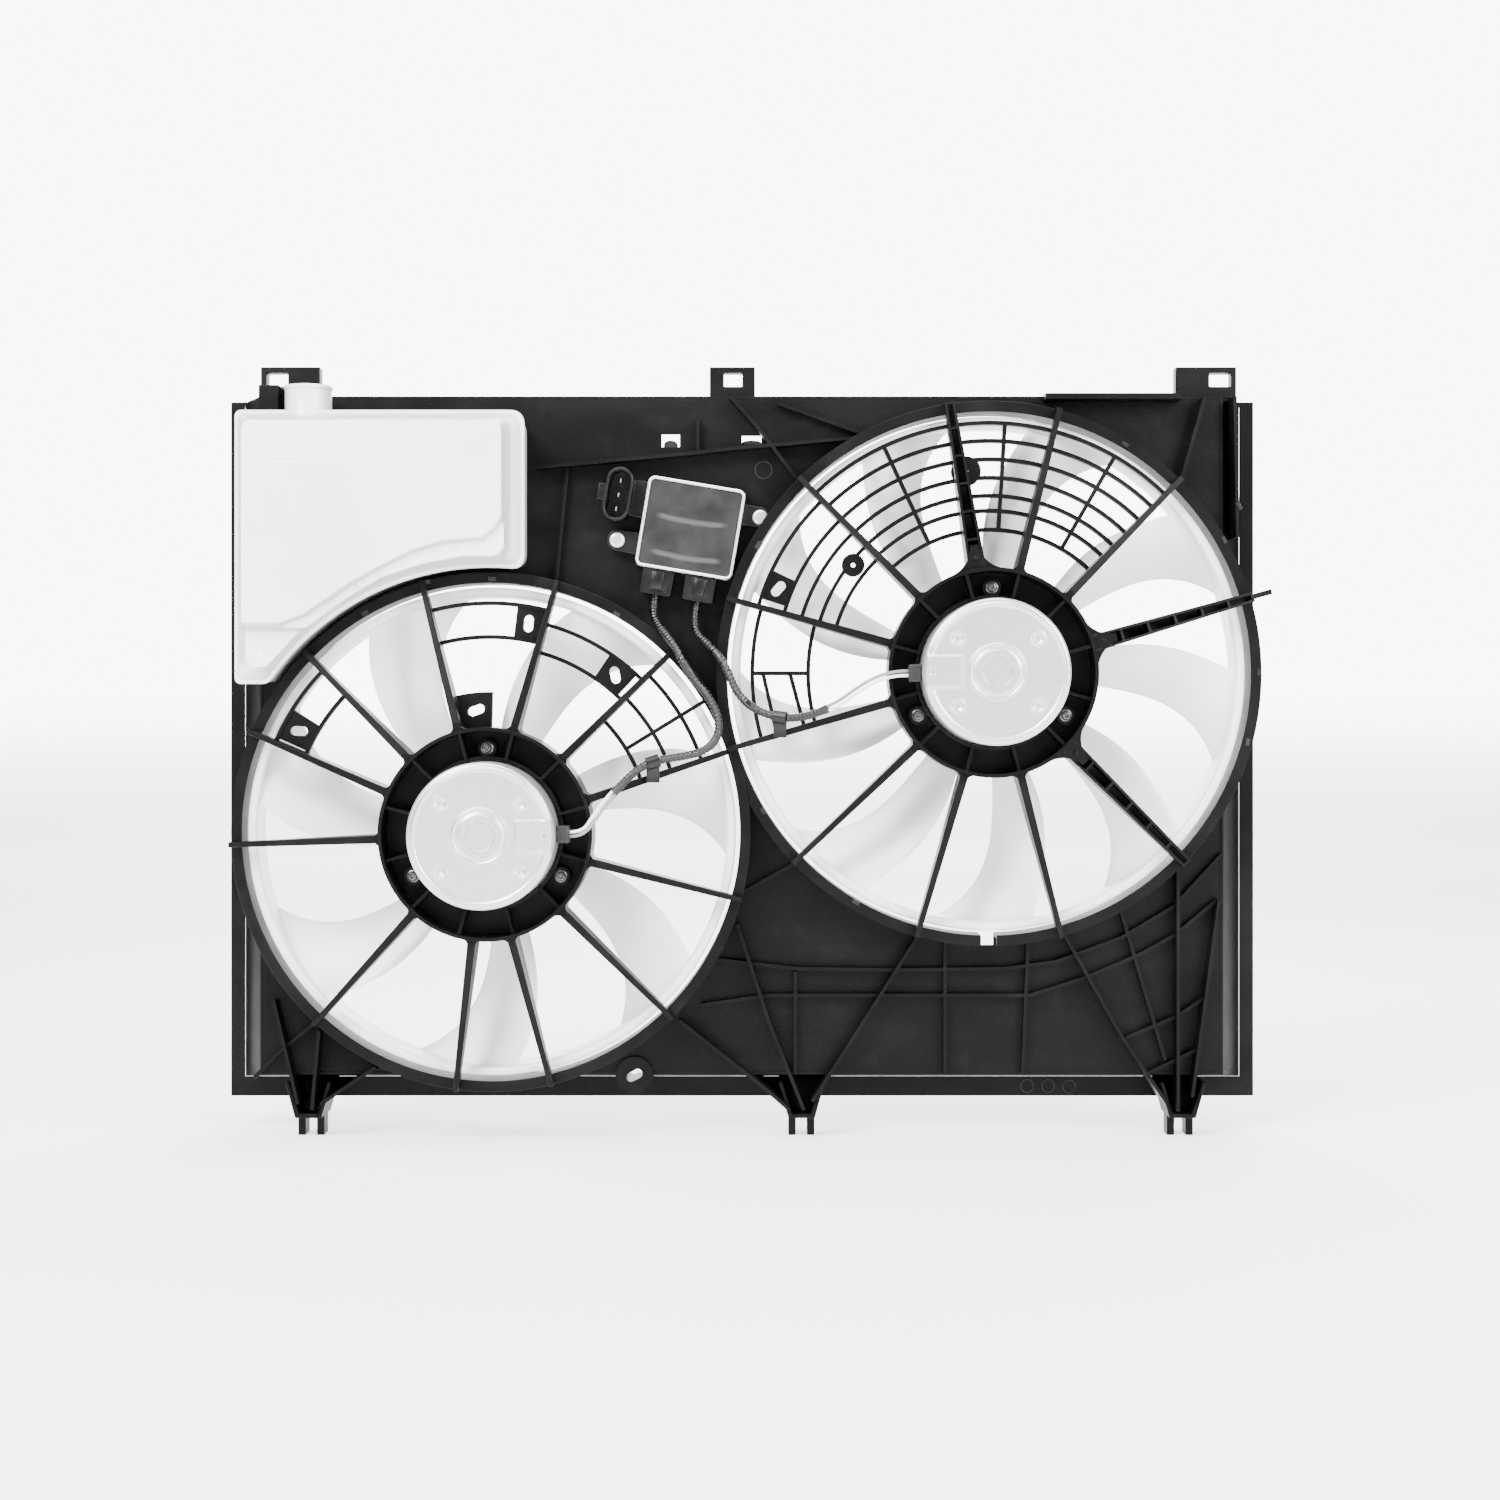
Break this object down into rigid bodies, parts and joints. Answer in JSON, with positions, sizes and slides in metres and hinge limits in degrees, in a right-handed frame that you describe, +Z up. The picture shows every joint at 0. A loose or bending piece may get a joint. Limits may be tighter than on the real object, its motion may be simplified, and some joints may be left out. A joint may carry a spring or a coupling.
{
  "type": "radiator cooling fan",
  "caption": "Black moulded radiator shroud with ring fans on electric motors behind radial struts, a white coolant reservoir and a fan control module.",
  "frame": {"origin": "centre of the open face that meets the radiator", "axes": "+X to the right as seen from the engine, +Y towards the radiator, +Z up"},
  "size_m": [0.74, 0.1385, 0.548],
  "materials": {
    "shroud_plastic": "moulded glass-filled plastic, satin black",
    "fan_plastic": "natural white moulded plastic, slightly translucent",
    "reservoir_plastic": "natural white blow-moulded plastic",
    "motor_steel": "zinc-plated pressed steel",
    "screw_steel": "zinc-plated steel",
    "core_steel": "stacked laminations",
    "magnet_ceramic": "sintered ferrite",
    "black_plastic": "moulded black",
    "bearing_bronze": "sintered bronze",
    "winding_copper": "enamelled copper",
    "rubber_black": "matt",
    "sleeve_black": "woven sleeve",
    "lead_insulation": "smooth insulation, one pale and one grey",
    "module_aluminium": "cast, lightly polished rim",
    "potting_grey": "semi-gloss potting",
    "board_green": "solder resist",
    "pin_brass": "tinned brass"
  },
  "bodies": {
    "shroud": {"coolant_reservoir": "reservoir_plastic", "left_barrel": "shroud_plastic", "left_brush_plate": "black_plastic", "left_guard": "shroud_plastic", "left_harness": "sleeve_black", "left_harness_clip": "black_plastic", "left_lead_grommet": "rubber_black", "left_motor_bearings": "bearing_bronze", "left_motor_can": "motor_steel", "left_motor_cap": "motor_steel", "left_motor_leads": "lead_insulation", "left_motor_magnets": "magnet_ceramic", "left_motor_mount": "shroud_plastic", "left_motor_plug": "black_plastic", "left_motor_screws": "screw_steel", "left_struts": "shroud_plastic", "lower_feet": "shroud_plastic", "module_base": "black_plastic", "module_board": "board_green", "module_pins": "pin_brass", "module_potting": "potting_grey", "module_screws": "screw_steel", "module_tray": "module_aluminium", "panel_ribs": "shroud_plastic", "reservoir_clip": "shroud_plastic", "right_barrel": "shroud_plastic", "right_brush_plate": "black_plastic", "right_guard": "shroud_plastic", "right_harness": "sleeve_black", "right_harness_clip": "black_plastic", "right_lead_grommet": "rubber_black", "right_motor_bearings": "bearing_bronze", "right_motor_can": "motor_steel", "right_motor_cap": "motor_steel", "right_motor_leads": "lead_insulation", "right_motor_magnets": "magnet_ceramic", "right_motor_mount": "shroud_plastic", "right_motor_plug": "black_plastic", "right_motor_screws": "screw_steel", "right_struts": "shroud_plastic", "shroud_panel": "shroud_plastic", "shroud_rim": "shroud_plastic", "shroud_slopes": "shroud_plastic", "upper_tabs": "shroud_plastic"},
    "left_rotor": {"left_armature_core": "core_steel", "left_armature_windings": "winding_copper", "left_commutator": "winding_copper", "left_fan_blades": "fan_plastic", "left_fan_hub": "fan_plastic", "left_fan_nut": "screw_steel", "left_fan_ring": "fan_plastic", "left_motor_shaft": "screw_steel"},
    "right_rotor": {"right_armature_core": "core_steel", "right_armature_windings": "winding_copper", "right_commutator": "winding_copper", "right_fan_blades": "fan_plastic", "right_fan_hub": "fan_plastic", "right_fan_nut": "screw_steel", "right_fan_ring": "fan_plastic", "right_motor_shaft": "screw_steel"}
  },
  "joints": [
    {"name": "left_fan_spin", "type": "hinge", "parent": "shroud", "child": "left_rotor", "pos_m": [-0.1753, 0, -0.0574], "axis": [0, -1, 0], "continuous": true},
    {"name": "right_fan_spin", "type": "hinge", "parent": "shroud", "child": "right_rotor", "pos_m": [0.1733, 0, 0.0536], "axis": [0, -1, 0], "continuous": true}
  ]
}
